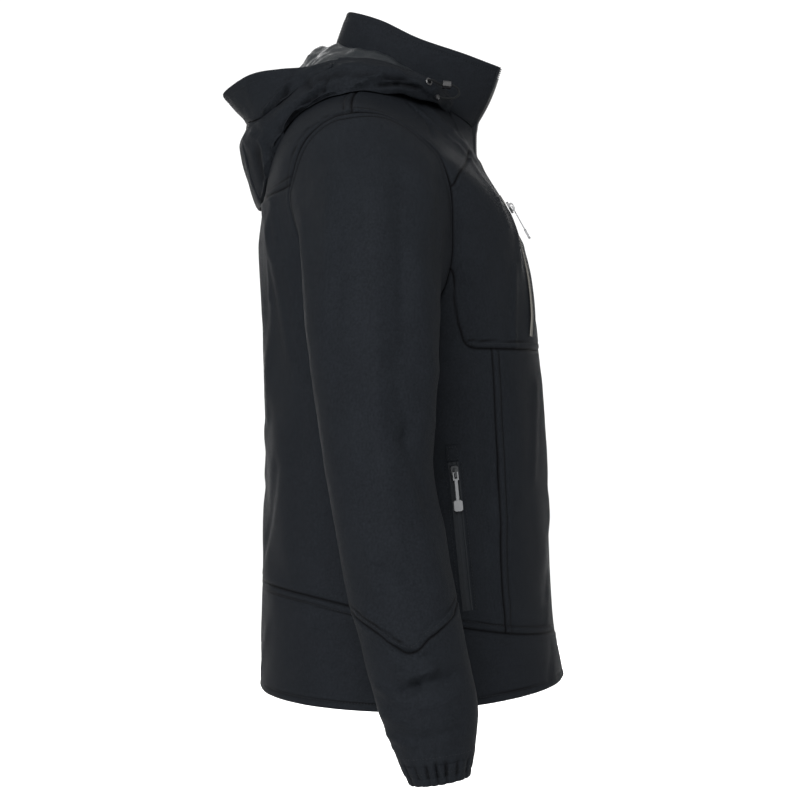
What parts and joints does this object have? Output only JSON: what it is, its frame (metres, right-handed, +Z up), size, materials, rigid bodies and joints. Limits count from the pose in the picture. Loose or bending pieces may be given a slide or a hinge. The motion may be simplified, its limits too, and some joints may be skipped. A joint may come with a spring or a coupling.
{
  "type": "hooded softshell jacket",
  "caption": "Hooded softshell jacket filled out as worn: raised open collar, hood laid back, panelled body, zipped chest and hand pockets, shaped sleeves with gathered cuffs.",
  "frame": {"origin": "centre of the neck opening at the height of the collar seam, where the wearer's neck and shoulders hold the jacket up", "axes": "+Z up; -Y is the jacket's front, with its zip; -X is the wearer's right side"},
  "size_m": [0.7004, 0.3898, 0.8344],
  "materials": {
    "softshell": "matte, faint sheen",
    "hood_lining": "smooth, satin",
    "zip_tape": "matte",
    "zip_metal": "glossy black",
    "black_plastic": "gloss",
    "cord": "braided, matte"
  },
  "bodies": {
    "jacket": {"yoke_back": "softshell", "back_panel": "softshell", "hem_band_back": "softshell", "yoke_front_right": "softshell", "yoke_front_left": "softshell", "chest_panel_right": "softshell", "chest_panel_left": "softshell", "front_panel_right": "softshell", "front_panel_left": "softshell", "side_panel_right": "softshell", "side_panel_left": "softshell", "hem_band_front_right": "softshell", "hem_band_front_left": "softshell", "sleeve_upper_right": "softshell", "sleeve_upper_left": "softshell", "sleeve_lower_right": "softshell", "sleeve_lower_left": "softshell", "cuff_right": "softshell", "cuff_left": "softshell", "collar": "softshell", "hand_zip_garage_right": "softshell", "hand_zip_garage_left": "softshell", "hood_side_right": "softshell", "hood_side_left": "softshell", "hood_centre": "softshell", "hood_brim": "softshell", "hood_lining": "hood_lining", "front_zip_right": "zip_tape", "front_zip_left": "zip_tape", "hand_zip_right": "zip_tape", "hand_zip_left": "zip_tape", "chest_zip": "zip_tape", "front_zip_slider": "zip_metal", "chest_zip_slider": "zip_metal", "hand_zip_slider_right": "zip_metal", "hand_zip_slider_left": "zip_metal", "hood_eyelet_right": "black_plastic", "hood_eyelet_left": "black_plastic", "hood_cord_lock_right": "black_plastic", "hood_cord_lock_left": "black_plastic", "hood_cord_bead_right": "black_plastic", "hood_cord_bead_left": "black_plastic", "hood_cord_right": "cord", "hood_cord_left": "cord"},
    "front_zip_pull_body": {"front_zip_pull": "zip_metal"},
    "chest_zip_pull_body": {"chest_zip_pull": "zip_metal"},
    "hand_zip_pull_right_body": {"hand_zip_pull_right": "zip_metal"},
    "hand_zip_pull_left_body": {"hand_zip_pull_left": "zip_metal"}
  },
  "joints": [
    {"name": "front_zip_pull_hinge", "type": "hinge", "parent": "jacket", "child": "front_zip_pull_body", "pos_m": [0, -0.10072, -0.09515], "axis": [-1, 0, 0], "range_deg": [0, 150]},
    {"name": "chest_zip_pull_hinge", "type": "hinge", "parent": "jacket", "child": "chest_zip_pull_body", "pos_m": [-0.09065, -0.12438, -0.13064], "axis": [-0.9884, 0.1394, 0.0607], "range_deg": [0, 150]},
    {"name": "hand_zip_pull_right_hinge", "type": "hinge", "parent": "jacket", "child": "hand_zip_pull_right_body", "pos_m": [-0.19703, -0.05856, -0.42213], "axis": [-0.24, 0.9657, -0.0992], "range_deg": [0, 150]},
    {"name": "hand_zip_pull_left_hinge", "type": "hinge", "parent": "jacket", "child": "hand_zip_pull_left_body", "pos_m": [0.19703, -0.05856, -0.42213], "axis": [-0.24, -0.9657, 0.0992], "range_deg": [0, 150]}
  ]
}
